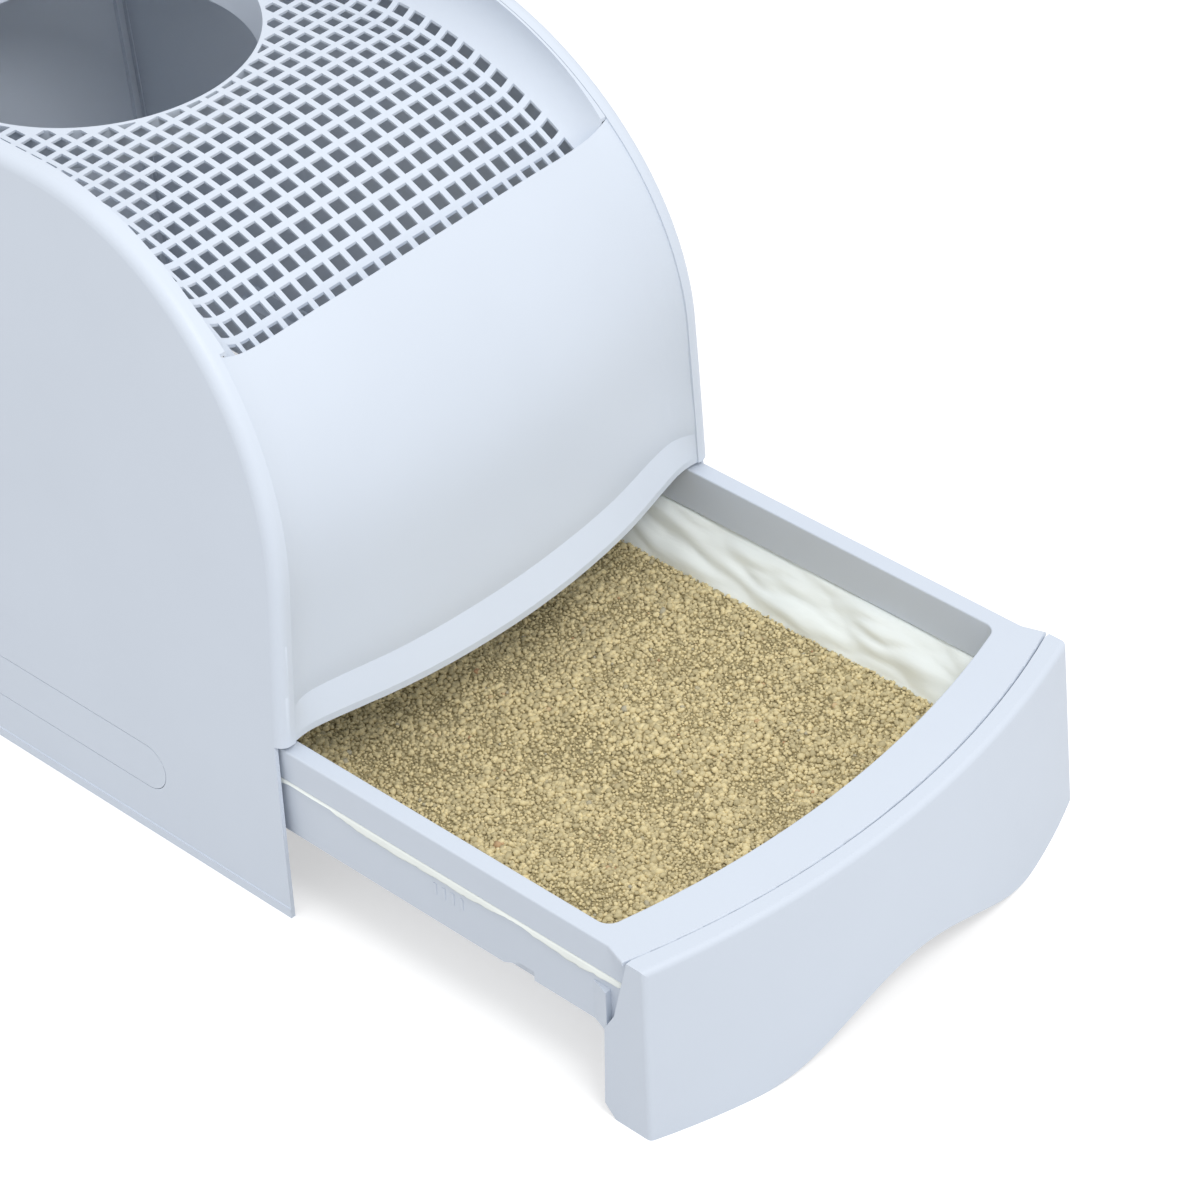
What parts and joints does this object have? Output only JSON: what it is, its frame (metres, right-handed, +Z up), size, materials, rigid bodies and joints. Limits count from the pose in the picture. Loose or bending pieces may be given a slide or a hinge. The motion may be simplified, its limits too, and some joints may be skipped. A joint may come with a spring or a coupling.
{
  "type": "top-entry litter box with drawer",
  "caption": "Top-entry cat litter box: rounded hood with a perforated entry deck over a pull-out drawer that holds a framed liner bag and a bed of litter.",
  "frame": {"origin": "on the floor, at the middle of the box that holds the litter box with its drawer pulled out as in the picture", "axes": "+Z up, +X across the width, -Y the way the drawer pulls out"},
  "size_m": [0.3712, 0.8038, 0.415],
  "materials": {
    "shell_plastic": "fine satin moulding",
    "liner_film": "thin milky film",
    "litter": "coarse dry granules"
  },
  "bodies": {
    "hood": {"hood_shell": "shell_plastic", "entry_deck": "shell_plastic", "runner_left": "shell_plastic", "runner_right": "shell_plastic"},
    "drawer": {"drawer_tray": "shell_plastic", "drawer_front": "shell_plastic", "liner_frame": "shell_plastic", "liner_bag": "liner_film", "litter_bed": "litter"}
  },
  "joints": [
    {"name": "drawer_slide", "type": "slide", "parent": "hood", "child": "drawer", "axis": [0, -1, 0], "range_m": [-0.239, 0.1]}
  ]
}
